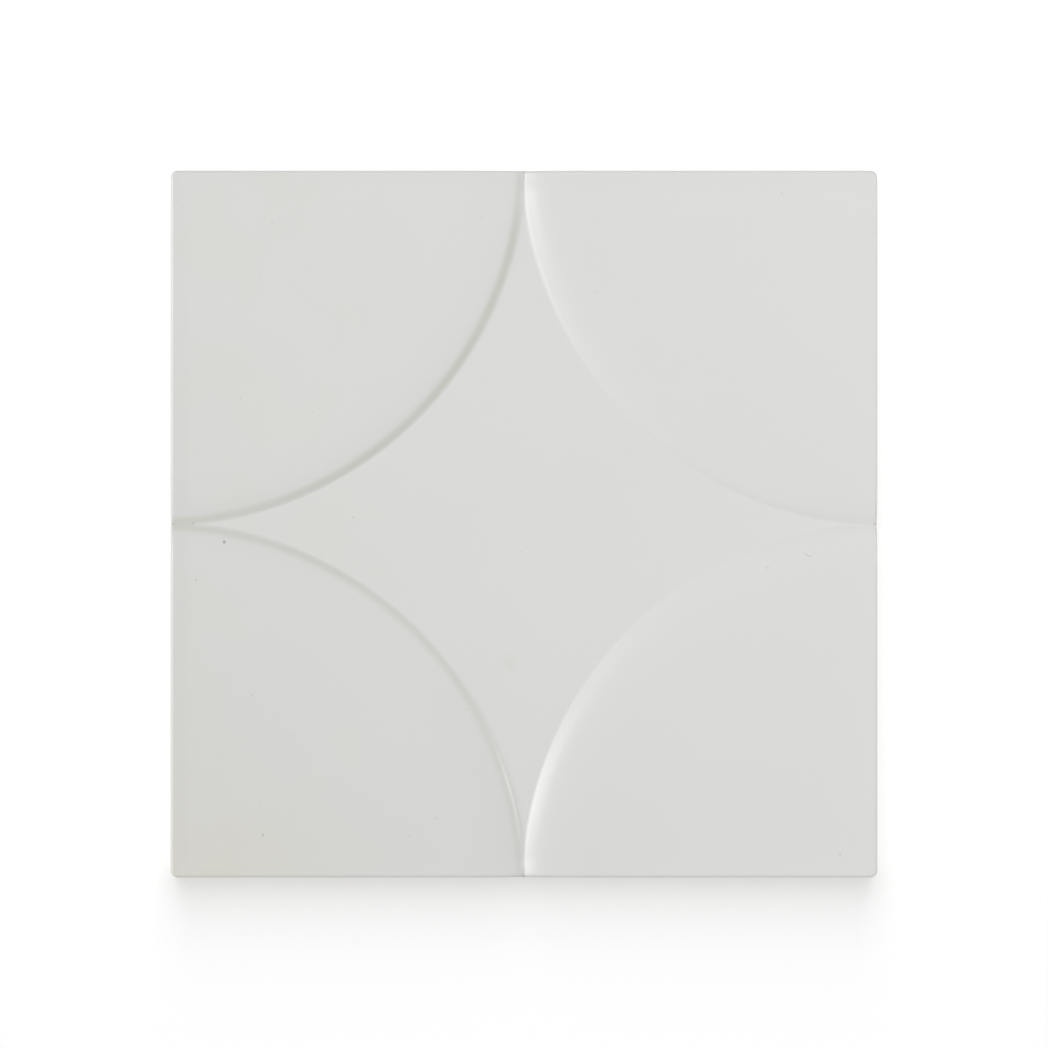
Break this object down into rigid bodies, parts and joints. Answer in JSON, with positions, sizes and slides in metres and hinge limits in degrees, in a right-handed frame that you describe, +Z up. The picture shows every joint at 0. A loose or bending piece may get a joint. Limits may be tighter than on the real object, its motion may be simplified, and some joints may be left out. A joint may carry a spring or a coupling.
{
  "type": "porcelain wall tile",
  "caption": "Square glazed porcelain wall tile with four raised quarter-round pads leaving a concave diamond between them, soft edges and a keyed back.",
  "frame": {"origin": "middle of the plane that the tile's back rests on", "axes": "+Z up out of the glazed face, +X to the right and +Y to the top of the picture"},
  "size_m": [0.15, 0.15, 0.0099],
  "materials": {
    "glazed_porcelain": "satin"
  },
  "bodies": {
    "root": {"tile": "glazed_porcelain"}
  },
  "joints": []
}
